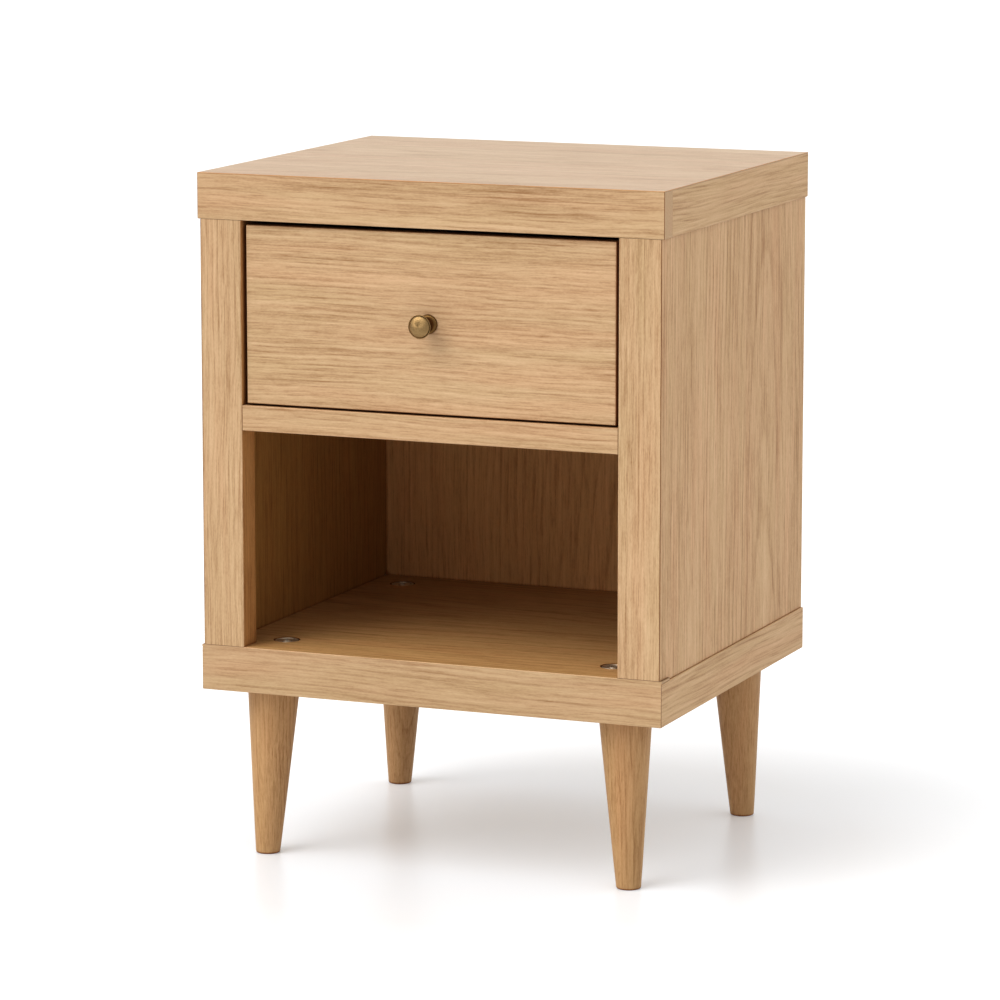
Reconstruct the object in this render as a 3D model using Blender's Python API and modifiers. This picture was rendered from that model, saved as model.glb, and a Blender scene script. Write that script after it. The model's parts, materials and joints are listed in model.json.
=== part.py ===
"""Nightstand with one drawer over an open cubby, on four splayed turned legs.

Units are metres and +Z is up. The front faces -Y. The origin is on the floor, under the centre
of the whole nightstand with its knob, so the case sits half a knob's reach towards +Y.
"""

import math

import bmesh
import bpy
from mathutils import Matrix, Vector

# Overall size
WIDTH = 0.450
DEPTH = 0.390
HEIGHT = 0.635
GAP = 0.0003
WELD = 0.00001
SHARP_ANGLE = 35
SIDES = {"left": -1, "right": 1}
ENDS = {"front": -1, "rear": 1}

# Knob and where it puts the case
KNOB_RADIUS = 0.0108
KNOB_FACE_RADIUS = 0.0098
KNOB_DOME = 0.0036
KNOB_EDGE = 0.0010
KNOB_HEAD_TAPER = 0.0060
KNOB_NECK_RADIUS = 0.0048
KNOB_FLARE = 0.0070
KNOB_FLANGE_RADIUS = 0.0087
KNOB_FLANGE_THICK = 0.0014
KNOB_REACH = 0.0245
KNOB_BORE_RADIUS = 0.0023
KNOB_BORE_DEPTH = 0.010
KNOB_CURVE_STEPS = 4
FRONT_RECESS = 0.0042
CASE_SHIFT = (KNOB_REACH - FRONT_RECESS) / 2
FRONT = CASE_SHIFT - DEPTH / 2
REAR = CASE_SHIFT + DEPTH / 2

# Top slab
TOP_THICK = 0.042
TOP_VENEER = 0.0008
TOP_EDGING = 0.020
TOP_UNDERSIDE = HEIGHT - TOP_THICK

# Base slab
BASE_SETBACK = 0.0005
BASE_HALF = WIDTH / 2 - BASE_SETBACK
BASE_UNDERSIDE = 0.159
BASE_THICK = 0.0418
FLOOR = BASE_UNDERSIDE + BASE_THICK
BASE_FRONT_EDGING = 0.021
BASE_LIP = 0.0024

# Case between the slabs
CASE_HALF = 0.2225
CASE_SETBACK = 0.0005
CASE_FRONT = FRONT + CASE_SETBACK
SIDE_THICK = 0.015
SIDE_INNER = CASE_HALF - SIDE_THICK
STILE_WIDTH = 0.040
STILE_DEPTH = 0.026
STILE_INNER = CASE_HALF - STILE_WIDTH
BACK_THICK = 0.006
BACK_INSET = 0.002
BACK_LAP = 0.007
BACK_FACE = REAR - BACK_INSET - BACK_THICK
RAIL_HEIGHT = 0.023
RAIL_TOP = 0.4245
SHELF_THICK = 0.018

# Legs
LEG_TOP_X = 0.1735
LEG_TOP_Y = 0.1495
FOOT_X = 0.1790
FOOT_Y = 0.1540
LEG_TOP_RADIUS = 0.0243
FOOT_RADIUS = 0.0113
FOOT_CHAMFER = 0.0016
LEG_SEGMENTS = 40

# Leg fixings: the front bolts stand further inboard, clear of the stiles
BOLT_INBOARD = {"front": (0.0122, 0.0025), "rear": (0.0, 0.0)}
BOLT_RADIUS = 0.004
BOLT_HEAD_RADIUS = 0.0110
BOLT_HEAD_HEIGHT = 0.0018
BOLT_HEAD_BEVEL = 0.0003
BOLT_RIM = 0.0012
BOLT_DISH_DEPTH = 0.0008
BOLT_BOSS_RADIUS = 0.0045
BOLT_SOCKET_RADIUS = 0.0030
BOLT_SOCKET_DEPTH = 0.0026
BOLT_TIP = 0.004
BOLT_IN_LEG = 0.018
WASHER_RADIUS = 0.0120
WASHER_THICK = 0.0012
COUNTERBORE_RADIUS = 0.0127
COUNTERBORE_DEPTH = 0.0037
INSERT_RADIUS = 0.0062
INSERT_LENGTH = 0.020
INSERT_BORE_DEPTH = 0.024

# Drawer
DRAWER_HALF = 0.1787
DRAWER_LOW = 0.4262
DRAWER_HIGH = 0.5886
DRAWER_FRONT_THICK = 0.018
BOX_HALF = 0.1692
BOX_WALL = 0.012
BOX_LOW = 0.441
BOX_HIGH = 0.561
BOX_LENGTH = 0.350
BOTTOM_THICK = 0.005
BOTTOM_LIFT = 0.006
GROOVE_DEPTH = 0.006
KNOB_HEIGHT = (DRAWER_LOW + DRAWER_HIGH) / 2
DRAWER_FACE = FRONT + FRONT_RECESS
BOX_FRONT = DRAWER_FACE + DRAWER_FRONT_THICK + GAP
FRONT_SCREW_X = 0.110
FRONT_SCREW_LENGTH = 0.026
PILOT_SPARE = 0.001
KNOB_SCREW_SPARE = 0.002

# Ball-bearing slides: three nested channels on each side
SLIDE_LENGTH = 0.350
SLIDE_SETBACK = 0.002
SLIDE_FRONT = BOX_FRONT + SLIDE_SETBACK
SLIDE_HEIGHT = 0.501
SLIDE_SHEET = 0.0012
OUTER_HALF_HEIGHT = 0.0225
OUTER_FLANGE = 0.0096
MIDDLE_HALF_HEIGHT = 0.0196
MIDDLE_OFFSET = 0.0024
MIDDLE_FLANGE = 0.0076
INNER_HALF_HEIGHT = 0.0160
INNER_FLANGE = 0.0077
SLIDE_DEPTH = 0.0127
SPACER_HALF_HEIGHT = 0.030

# Screws
SCREW_RADIUS = 0.002
SCREW_HEAD_RADIUS = 0.004
SCREW_HEAD_HEIGHT = 0.0016
SCREW_CROWN = 0.7
SCREW_SHOULDER = 0.4
SCREW_TIP = 0.004
SCREW_CLEARANCE = SCREW_RADIUS + GAP
BACK_SCREW_LENGTH = 0.022
BACK_SCREW_RADIUS = 0.0013
BACK_SCREW_HEAD_RADIUS = 0.0027
BACK_SCREW_MARGIN = 0.040
BACK_SCREW_HEIGHTS = {"low": FLOOR + BACK_SCREW_MARGIN, "middle": (FLOOR + TOP_UNDERSIDE) / 2,
                      "high": TOP_UNDERSIDE - BACK_SCREW_MARGIN}
ROUND_STEPS = 32
SCREW_STEPS = 16
CUTTER_REACH = 0.010

MATERIALS = {
    "oak_horizontal": ((0.604, 0.401, 0.220, 1), 0.50, 0.0),
    "oak_vertical": ((0.560, 0.360, 0.190, 1), 0.50, 0.0),
    "oak_top": ((0.680, 0.490, 0.310, 1), 0.48, 0.0),
    "leg_oak": ((0.470, 0.275, 0.130, 1), 0.48, 0.0),
    "core_board": ((0.420, 0.300, 0.190, 1), 0.80, 0.0),
    "drawer_box_ply": ((0.640, 0.480, 0.310, 1), 0.60, 0.0),
    "antique_brass": ((0.270, 0.180, 0.080, 1), 0.32, 1.0),
    "zinc_steel": ((0.550, 0.550, 0.530, 1), 0.35, 1.0),
}


def clear_scene():
    for old in list(bpy.data.objects):
        bpy.data.objects.remove(old, do_unlink=True)


def new_collection(name):
    collection = bpy.data.collections.new(name)
    bpy.context.scene.collection.children.link(collection)
    return collection


def new_material(name):
    colour, roughness, metallic = MATERIALS[name]
    material = bpy.data.materials.new(name)
    material.use_nodes = True
    shader = material.node_tree.nodes["Principled BSDF"]
    shader.inputs["Base Color"].default_value = colour
    shader.inputs["Roughness"].default_value = roughness
    shader.inputs["Metallic"].default_value = metallic
    material.diffuse_color = colour
    return material


def new_object(name, mesh, finish, place=(0, 0, 0)):
    """A visible piece: it takes its finish and joins the nightstand's collection."""
    piece = bpy.data.objects.new(name, mesh)
    piece.location = place
    piece.data.materials.append(finishes[finish])
    parts.objects.link(piece)
    return piece


def mesh_from(name, build):
    """A mesh filled in by a function that works on a bmesh."""
    mesh = bpy.data.meshes.new(name)
    shape = bmesh.new()
    build(shape)
    bmesh.ops.recalc_face_normals(shape, faces=shape.faces)
    shape.to_mesh(mesh)
    shape.free()
    return mesh


def box_mesh(name, size):
    def build(shape):
        bmesh.ops.create_cube(shape, size=1)
        bmesh.ops.scale(shape, vec=size, verts=shape.verts)

    return mesh_from(name, build)


def board(name, low, high, finish):
    """A plain rectangular board between two corners."""
    low = Vector(low)
    high = Vector(high)
    return new_object(name, box_mesh(name, high - low), finish, (low + high) / 2)


def outline_mesh(name, points, thickness):
    """A flat outline in X and Y, thickened evenly about Z = 0 and welded into one mesh."""
    curve = bpy.data.curves.new(name, "CURVE")
    curve.dimensions = "2D"
    curve.fill_mode = "BOTH"
    curve.extrude = thickness / 2
    spline = curve.splines.new("POLY")
    spline.points.add(len(points) - 1)
    for point, (x, y) in zip(spline.points, points):
        point.co = (x, y, 0, 1)
    spline.use_cyclic_u = True
    guide = bpy.data.objects.new(name, curve)
    bpy.context.scene.collection.objects.link(guide)
    bpy.context.view_layer.update()
    graph = bpy.context.evaluated_depsgraph_get()
    mesh = bpy.data.meshes.new_from_object(guide.evaluated_get(graph))
    bpy.data.objects.remove(guide)
    shape = bmesh.new()
    shape.from_mesh(mesh)
    bmesh.ops.remove_doubles(shape, verts=shape.verts, dist=WELD)
    bmesh.ops.recalc_face_normals(shape, faces=shape.faces)
    shape.to_mesh(mesh)
    shape.free()
    return mesh


def plan_prism(name, points, low, high, finish):
    """An outline seen from above, standing between two heights."""
    mesh = outline_mesh(name, points, high - low)
    return new_object(name, mesh, finish, (0, 0, (low + high) / 2))


def profile_prism(name, points, front, rear, finish):
    """An outline in X and Z, running from front to rear."""
    mesh = outline_mesh(name, points, rear - front)
    piece = new_object(name, mesh, finish, (0, (front + rear) / 2, 0))
    piece.rotation_euler = (math.radians(90), 0, 0)
    return piece


def turned(name, profile, finish, place, steps, closed=False):
    """A profile of (radius, height) points, running down its outer side, turned about Z."""
    mesh = bpy.data.meshes.new(name)
    links = [(i, i + 1) for i in range(len(profile) - 1)]
    if closed:
        links.append((len(profile) - 1, 0))
    mesh.from_pydata([(radius, 0, height) for radius, height in profile], links, [])
    piece = new_object(name, mesh, finish, place)
    screw = piece.modifiers.new("Turn", "SCREW")
    screw.axis = "Z"
    screw.steps = steps
    screw.render_steps = steps
    screw.use_merge_vertices = True
    screw.merge_threshold = WELD
    screw.use_smooth_shade = True
    return piece


def ring_profile(outer, inner, low, high):
    return [(outer, high), (outer, low), (inner, low), (inner, high)]


def screw_profile(radius, length, head_radius, head_height):
    """A pan-head screw whose head rests at height 0 and whose tip points down."""
    return [
        (0, head_height),
        (head_radius * SCREW_CROWN, head_height),
        (head_radius, head_height * SCREW_SHOULDER),
        (head_radius, 0),
        (radius, 0),
        (radius, SCREW_TIP - length),
        (0, -length),
    ]


def bolt_profile(length):
    """A bolt whose wide flat head is dished between its rim and the boss round its socket."""
    top = BOLT_HEAD_HEIGHT
    dish = top - BOLT_DISH_DEPTH
    rim = BOLT_HEAD_RADIUS - BOLT_RIM
    return [
        (0, top),
        (BOLT_BOSS_RADIUS, top),
        (BOLT_BOSS_RADIUS, dish),
        (rim, dish),
        (rim, top),
        (BOLT_HEAD_RADIUS - BOLT_HEAD_BEVEL, top),
        (BOLT_HEAD_RADIUS, top - BOLT_HEAD_BEVEL),
        (BOLT_HEAD_RADIUS, 0),
        (BOLT_RADIUS, 0),
        (BOLT_RADIUS, BOLT_TIP - length),
        (0, -length),
    ]


def cylinder_cutter(name, radius, centre, length, direction="Z", segments=ROUND_STEPS):
    """A cylinder that only removes material, centred on a point."""

    def build(shape):
        bmesh.ops.create_cone(shape, cap_ends=True, segments=segments, radius1=radius,
                              radius2=radius, depth=length)

    cutter = bpy.data.objects.new(name, mesh_from(name, build))
    cutter.location = centre
    if direction == "Y":
        cutter.rotation_euler = (math.radians(90), 0, 0)
    return keep_as_cutter(cutter)


def box_cutter(name, low, high):
    low = Vector(low)
    high = Vector(high)
    cutter = bpy.data.objects.new(name, box_mesh(name, high - low))
    cutter.location = (low + high) / 2
    return keep_as_cutter(cutter)


def prism_cutter(name, points, low, high):
    cutter = bpy.data.objects.new(name, outline_mesh(name, points, high - low))
    cutter.location = (0, 0, (low + high) / 2)
    return keep_as_cutter(cutter)


def keep_as_cutter(cutter):
    cutter.hide_render = True
    cutter.display_type = "WIRE"
    cutters.objects.link(cutter)
    return cutter


def cut(piece, cutter):
    boolean = piece.modifiers.new("Cut", "BOOLEAN")
    boolean.operation = "DIFFERENCE"
    boolean.solver = "EXACT"
    boolean.object = cutter


def make_top_slab():
    """Core board with solid edgings round it, and one sheet of veneer over everything."""
    half = WIDTH / 2
    face = HEIGHT - TOP_VENEER - GAP
    back_of_front = FRONT + TOP_EDGING
    board("top_veneer", (-half, FRONT, HEIGHT - TOP_VENEER), (half, REAR, HEIGHT), "oak_top")
    board("top_front_edging", (-half, FRONT, TOP_UNDERSIDE), (half, back_of_front, face),
          "oak_horizontal")
    board("top_core", (TOP_EDGING + GAP - half, back_of_front + GAP, TOP_UNDERSIDE),
          (half - TOP_EDGING - GAP, REAR - TOP_EDGING - GAP, face), "core_board")
    board("top_rear_edging", (TOP_EDGING + GAP - half, REAR - TOP_EDGING, TOP_UNDERSIDE),
          (half - TOP_EDGING - GAP, REAR, face), "oak_horizontal")
    for side, sign in SIDES.items():
        across = sorted((sign * (half - TOP_EDGING), sign * half))
        board(f"top_{side}_edging", (across[0], back_of_front + GAP, TOP_UNDERSIDE),
              (across[1], REAR, face), "oak_horizontal")


def make_base_edgings():
    """Edgings mitred at the front corners; the front one has a lip that covers the mitres."""
    inner = SIDE_INNER
    side_top = FLOOR - BASE_LIP
    mitre_back = FRONT + BASE_FRONT_EDGING
    front = board("base_front_edging", (-BASE_HALF, FRONT, BASE_UNDERSIDE),
                  (BASE_HALF, mitre_back, FLOOR), "oak_horizontal")
    for side, sign in SIDES.items():
        wedge = [(sign * (BASE_HALF - GAP), FRONT), (sign * (inner - GAP), mitre_back),
                 (sign * (inner - GAP), mitre_back + CUTTER_REACH),
                 (sign * (BASE_HALF + CUTTER_REACH), mitre_back + CUTTER_REACH),
                 (sign * (BASE_HALF + CUTTER_REACH), FRONT)]
        cut(front, prism_cutter(f"mitre_{side}", wedge, BASE_UNDERSIDE - CUTTER_REACH,
                                side_top + GAP))
        outline = [(sign * BASE_HALF, FRONT), (sign * BASE_HALF, REAR), (sign * inner, REAR),
                   (sign * inner, mitre_back)]
        plan_prism(f"base_{side}_edging", outline, BASE_UNDERSIDE, side_top, "oak_horizontal")
    board("base_rear_edging", (GAP - inner, REAR - TOP_EDGING, BASE_UNDERSIDE),
          (inner - GAP, REAR, FLOOR), "oak_horizontal")


def make_base_panel():
    """The cubby's floor, counterbored for the leg bolts."""
    edge = SIDE_INNER - GAP
    panel = board("base_panel", (-edge, FRONT + BASE_FRONT_EDGING + GAP, BASE_UNDERSIDE),
                  (edge, REAR - TOP_EDGING - GAP, FLOOR), "oak_horizontal")
    for corner, (x, y) in bolt_places().items():
        recess = cylinder_cutter(f"counterbore_{corner}", COUNTERBORE_RADIUS, (x, y, FLOOR),
                                 2 * COUNTERBORE_DEPTH)
        hole = cylinder_cutter(f"bolt_hole_{corner}", BOLT_RADIUS + GAP,
                               (x, y, FLOOR - BASE_THICK / 2), BASE_THICK + CUTTER_REACH)
        cut(panel, recess)
        cut(panel, hole)


def make_stiles_and_sides():
    """Front stiles mitred to the side panels, which are rebated for the back."""
    slab_top = TOP_UNDERSIDE - GAP
    mitre = CASE_FRONT + SIDE_THICK
    stile_back = CASE_FRONT + STILE_DEPTH
    rebate = BACK_FACE - GAP
    lap = SIDE_INNER + BACK_LAP
    for side, sign in SIDES.items():
        stile = [(sign * STILE_INNER, CASE_FRONT), (sign * (CASE_HALF - GAP), CASE_FRONT),
                 (sign * (SIDE_INNER - GAP), mitre), (sign * (SIDE_INNER - GAP), stile_back),
                 (sign * STILE_INNER, stile_back)]
        plan_prism(f"{side}_stile", stile, FLOOR + GAP, slab_top, "oak_vertical")
        panel = [(sign * CASE_HALF, CASE_FRONT), (sign * CASE_HALF, REAR), (sign * lap, REAR),
                 (sign * lap, rebate), (sign * SIDE_INNER, rebate), (sign * SIDE_INNER, mitre)]
        side_panel = plan_prism(f"{side}_side_panel", panel, FLOOR - BASE_LIP + GAP, slab_top,
                                "oak_vertical")
        lip_back = FRONT + BASE_FRONT_EDGING + GAP
        edges = sorted((sign * (SIDE_INNER - CUTTER_REACH), sign * (CASE_HALF + CUTTER_REACH)))
        notch = box_cutter(f"lip_notch_{side}", (edges[0], FRONT - CUTTER_REACH, FLOOR - CUTTER_REACH),
                           (edges[1], lip_back, FLOOR + GAP))
        cut(side_panel, notch)
        for level, height in BACK_SCREW_HEIGHTS.items():
            x = sign * (SIDE_INNER + BACK_LAP / 2)
            depth = BACK_SCREW_LENGTH + CUTTER_REACH
            bore = cylinder_cutter(f"pilot_{side}_{level}", BACK_SCREW_RADIUS + GAP,
                                   (x, REAR - depth / 2, height), depth, "Y", SCREW_STEPS)
            cut(side_panel, bore)


def make_divider_and_back():
    low = RAIL_TOP - RAIL_HEIGHT
    rail_back = CASE_FRONT + STILE_DEPTH
    board("divider_rail", (GAP - STILE_INNER, CASE_FRONT, low),
          (STILE_INNER - GAP, rail_back, RAIL_TOP), "oak_horizontal")
    board("divider_shelf", (GAP - SIDE_INNER, rail_back + GAP, RAIL_TOP - SHELF_THICK),
          (SIDE_INNER - GAP, BACK_FACE - GAP, RAIL_TOP), "oak_horizontal")
    edge = SIDE_INNER + BACK_LAP - GAP
    back = board("back_panel", (-edge, BACK_FACE, FLOOR + GAP),
                 (edge, BACK_FACE + BACK_THICK, TOP_UNDERSIDE - GAP), "oak_vertical")
    for side, sign in SIDES.items():
        for level, height in BACK_SCREW_HEIGHTS.items():
            x = sign * (SIDE_INNER + BACK_LAP / 2)
            middle = (x, BACK_FACE + BACK_THICK / 2, height)
            hole = cylinder_cutter(f"back_hole_{side}_{level}", BACK_SCREW_RADIUS + GAP, middle,
                                   BACK_THICK + CUTTER_REACH, "Y", SCREW_STEPS)
            cut(back, hole)
            profile = screw_profile(BACK_SCREW_RADIUS, BACK_SCREW_LENGTH, BACK_SCREW_HEAD_RADIUS,
                                    SCREW_HEAD_HEIGHT)
            screw = turned(f"back_screw_{side}_{level}", profile, "zinc_steel",
                           (x, BACK_FACE + BACK_THICK + GAP, height), SCREW_STEPS)
            screw.rotation_euler = (math.radians(-90), 0, 0)


def corners():
    """Each corner's name and the signs of its X and Y."""
    return {f"{end}_{side}": (sx, sy, end)
            for end, sy in ENDS.items() for side, sx in SIDES.items()}


def bolt_places():
    """Where each leg's bolt stands: inboard of the leg's axis."""
    places = {}
    for corner, (sx, sy, end) in corners().items():
        inboard_x, inboard_y = BOLT_INBOARD[end]
        places[corner] = (sx * (LEG_TOP_X - inboard_x), CASE_SHIFT + sy * (LEG_TOP_Y - inboard_y))
    return places


def leg_mesh(name, lean_x, lean_y):
    """A tapered leg about its foot's centre, chamfered at the foot and leaning with flat ends."""
    length = BASE_UNDERSIDE - GAP

    def build(shape):
        bmesh.ops.create_cone(shape, cap_ends=True, segments=LEG_SEGMENTS, radius1=FOOT_RADIUS,
                              radius2=LEG_TOP_RADIUS, depth=length)
        bmesh.ops.translate(shape, vec=(0, 0, length / 2), verts=shape.verts)
        rim = [edge for edge in shape.edges if all(v.co.z < GAP for v in edge.verts)]
        bmesh.ops.bevel(shape, geom=rim, offset=FOOT_CHAMFER, segments=2, affect="EDGES",
                        profile=0.5)
        lean = Matrix.Shear("XY", 4, (lean_x, lean_y))
        bmesh.ops.transform(shape, matrix=lean, verts=shape.verts)

    mesh = mesh_from(name, build)
    mesh.shade_smooth()
    mesh.set_sharp_from_angle(angle=math.radians(SHARP_ANGLE))
    return mesh


def make_legs():
    """Each leg with its threaded insert, and the bolt and washer that hold it to the base."""
    washer_top = FLOOR - COUNTERBORE_DEPTH + GAP + WASHER_THICK
    bolt_length = washer_top + GAP - BASE_UNDERSIDE + BOLT_IN_LEG
    insert_top = BASE_UNDERSIDE - 2 * GAP
    for corner, (sx, sy, end) in corners().items():
        lean_x = sx * (LEG_TOP_X - FOOT_X) / BASE_UNDERSIDE
        lean_y = sy * (LEG_TOP_Y - FOOT_Y) / BASE_UNDERSIDE
        x, y = bolt_places()[corner]
        leg = new_object(f"leg_{corner}", leg_mesh(f"leg_{corner}", lean_x, lean_y), "leg_oak",
                         (sx * FOOT_X, CASE_SHIFT + sy * FOOT_Y, 0))
        bore = cylinder_cutter(f"insert_bore_{corner}", INSERT_RADIUS + GAP,
                               (x, y, BASE_UNDERSIDE), 2 * INSERT_BORE_DEPTH)
        cut(leg, bore)
        turned(f"leg_insert_{corner}",
               ring_profile(INSERT_RADIUS, BOLT_RADIUS + GAP, -INSERT_LENGTH, 0),
               "zinc_steel", (x, y, insert_top), ROUND_STEPS, closed=True)
        turned(f"leg_washer_{corner}",
               ring_profile(WASHER_RADIUS, BOLT_RADIUS + GAP, -WASHER_THICK, 0),
               "zinc_steel", (x, y, washer_top), ROUND_STEPS, closed=True)
        bolt = turned(f"leg_bolt_{corner}", bolt_profile(bolt_length), "zinc_steel",
                      (x, y, washer_top + GAP), ROUND_STEPS)
        socket = cylinder_cutter(f"socket_{corner}", BOLT_SOCKET_RADIUS,
                                 (x, y, washer_top + GAP + BOLT_HEAD_HEIGHT),
                                 2 * BOLT_SOCKET_DEPTH, segments=6)
        cut(bolt, socket)


def make_drawer_box():
    """Two grooved sides, a front and a back, and a bottom that slides in under the back."""
    rear = BOX_FRONT + BOX_LENGTH
    inner = BOX_HALF - BOX_WALL
    groove_low = BOX_LOW + BOTTOM_LIFT
    groove_high = groove_low + BOTTOM_THICK + 2 * GAP
    for side, sign in SIDES.items():
        outline = [(sign * BOX_HALF, BOX_LOW), (sign * BOX_HALF, BOX_HIGH),
                   (sign * inner, BOX_HIGH), (sign * inner, groove_high),
                   (sign * (inner + GROOVE_DEPTH), groove_high),
                   (sign * (inner + GROOVE_DEPTH), groove_low), (sign * inner, groove_low),
                   (sign * inner, BOX_LOW)]
        profile_prism(f"drawer_{side}_side", outline, BOX_FRONT, rear, "drawer_box_ply")
    box_front = board("drawer_box_front", (GAP - inner, BOX_FRONT, BOX_LOW),
                      (inner - GAP, BOX_FRONT + BOX_WALL, BOX_HIGH), "drawer_box_ply")
    groove = box_cutter("bottom_groove", (-BOX_HALF, BOX_FRONT + GROOVE_DEPTH, groove_low),
                        (BOX_HALF, BOX_FRONT + BOX_WALL + CUTTER_REACH, groove_high))
    cut(box_front, groove)
    board("drawer_bottom",
          (GAP - inner - GROOVE_DEPTH, BOX_FRONT + GROOVE_DEPTH + GAP, groove_low + GAP),
          (inner + GROOVE_DEPTH - GAP, rear, groove_high - GAP), "drawer_box_ply")
    board("drawer_box_back", (GAP - inner, rear - BOX_WALL, groove_high),
          (inner - GAP, rear, BOX_HIGH), "drawer_box_ply")
    return box_front


def make_drawer_front(box_front):
    """The inset oak front, its two fixing screws, and the knob with its screw."""
    front_rear = DRAWER_FACE + DRAWER_FRONT_THICK
    joint = front_rear + GAP / 2
    front = board("drawer_front", (-DRAWER_HALF, DRAWER_FACE, DRAWER_LOW),
                  (DRAWER_HALF, front_rear, DRAWER_HIGH), "oak_horizontal")
    inside = BOX_FRONT + BOX_WALL + GAP
    pilot_tip = inside - FRONT_SCREW_LENGTH - PILOT_SPARE
    pilot_mouth = inside + CUTTER_REACH
    for side, sign in SIDES.items():
        x = sign * FRONT_SCREW_X
        bore = cylinder_cutter(f"front_pilot_{side}", SCREW_CLEARANCE,
                               (x, (pilot_tip + pilot_mouth) / 2, KNOB_HEIGHT),
                               pilot_mouth - pilot_tip, "Y", SCREW_STEPS)
        cut(front, bore)
        cut(box_front, bore)
        screw = turned(f"drawer_front_screw_{side}",
                       screw_profile(SCREW_RADIUS, FRONT_SCREW_LENGTH, SCREW_HEAD_RADIUS,
                                     SCREW_HEAD_HEIGHT),
                       "zinc_steel", (x, inside, KNOB_HEIGHT), SCREW_STEPS)
        screw.rotation_euler = (math.radians(-90), 0, 0)
    hole = cylinder_cutter("knob_hole", SCREW_CLEARANCE, (0, joint, KNOB_HEIGHT),
                           2 * (DRAWER_FRONT_THICK + CUTTER_REACH), "Y", SCREW_STEPS)
    cut(front, hole)
    cut(box_front, hole)
    knob = turned("knob", knob_profile(), "antique_brass", (0, DRAWER_FACE - GAP, KNOB_HEIGHT),
                  ROUND_STEPS)
    knob.rotation_euler = (math.radians(90), 0, 0)
    reach = BOX_WALL + DRAWER_FRONT_THICK + KNOB_BORE_DEPTH - KNOB_SCREW_SPARE
    screw = turned("knob_screw",
                   screw_profile(SCREW_RADIUS, reach, SCREW_HEAD_RADIUS, SCREW_HEAD_HEIGHT),
                   "zinc_steel", (0, inside, KNOB_HEIGHT), SCREW_STEPS)
    screw.rotation_euler = (math.radians(-90), 0, 0)


def quarter_turn():
    """Angles from 0 to 90 degrees."""
    return [math.pi / 2 * step / KNOB_CURVE_STEPS for step in range(KNOB_CURVE_STEPS + 1)]


def knob_profile():
    """A mushroom knob: domed face, fine rim, neck flaring into a flange, bored for a screw."""
    rim = KNOB_REACH - GAP - KNOB_DOME
    under = rim - KNOB_EDGE
    hollow = KNOB_RADIUS - KNOB_EDGE / 2 - KNOB_NECK_RADIUS
    flare = KNOB_FLANGE_RADIUS - KNOB_EDGE / 2 - KNOB_NECK_RADIUS
    dome = [(KNOB_FACE_RADIUS * math.sin(a), rim + KNOB_DOME * math.cos(a))
            for a in quarter_turn()]
    edge = [(KNOB_RADIUS, rim - KNOB_EDGE / 4), (KNOB_RADIUS, under + KNOB_EDGE / 4)]
    head = [(KNOB_NECK_RADIUS + hollow * (1 - math.sin(a)),
             under - KNOB_HEAD_TAPER * math.sin(a) ** 2) for a in quarter_turn()]
    neck = [(KNOB_NECK_RADIUS + flare * (1 - math.cos(a)),
             KNOB_FLANGE_THICK + KNOB_FLARE * (1 - math.sin(a))) for a in quarter_turn()]
    flange = [(KNOB_FLANGE_RADIUS, KNOB_FLANGE_THICK / 2), (KNOB_FLANGE_RADIUS, 0)]
    bore = [(KNOB_BORE_RADIUS, 0), (KNOB_BORE_RADIUS, KNOB_BORE_DEPTH), (0, KNOB_BORE_DEPTH)]
    return dome + edge + head + neck + flange + bore


def channel(sign, start, depth, half_height, opens_inwards):
    """A C section in X and Z: a web at one end of its depth and a flange along each edge."""
    web = start if opens_inwards else start - depth
    step = -SLIDE_SHEET if opens_inwards else SLIDE_SHEET
    far = start - depth if opens_inwards else start
    outer = half_height
    inner = half_height - SLIDE_SHEET
    points = [(web, -outer), (web, outer), (far, outer), (far, inner), (web + step, inner),
              (web + step, -inner), (far, -inner), (far, -outer)]
    return [(sign * x, SLIDE_HEIGHT + z) for x, z in points]


def make_slides():
    """The fixed, middle and drawer channels of each full-extension slide, and its spacer."""
    wall = STILE_INNER - GAP
    rear = SLIDE_FRONT + SLIDE_LENGTH
    sections = {
        "outer": (wall, OUTER_FLANGE, OUTER_HALF_HEIGHT, True),
        "middle": (wall - MIDDLE_OFFSET, MIDDLE_FLANGE, MIDDLE_HALF_HEIGHT, True),
        "inner": (wall - SLIDE_DEPTH + INNER_FLANGE, INNER_FLANGE, INNER_HALF_HEIGHT, False),
    }
    for side, sign in SIDES.items():
        for member, values in sections.items():
            profile_prism(f"{side}_slide_{member}", channel(sign, *values), SLIDE_FRONT, rear,
                          "zinc_steel")
        edges = sorted((sign * (STILE_INNER + GAP), sign * (SIDE_INNER - GAP)))
        board(f"{side}_slide_spacer",
              (edges[0], CASE_FRONT + STILE_DEPTH + GAP, SLIDE_HEIGHT - SPACER_HALF_HEIGHT),
              (edges[1], rear, SLIDE_HEIGHT + SPACER_HALF_HEIGHT), "core_board")


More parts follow.
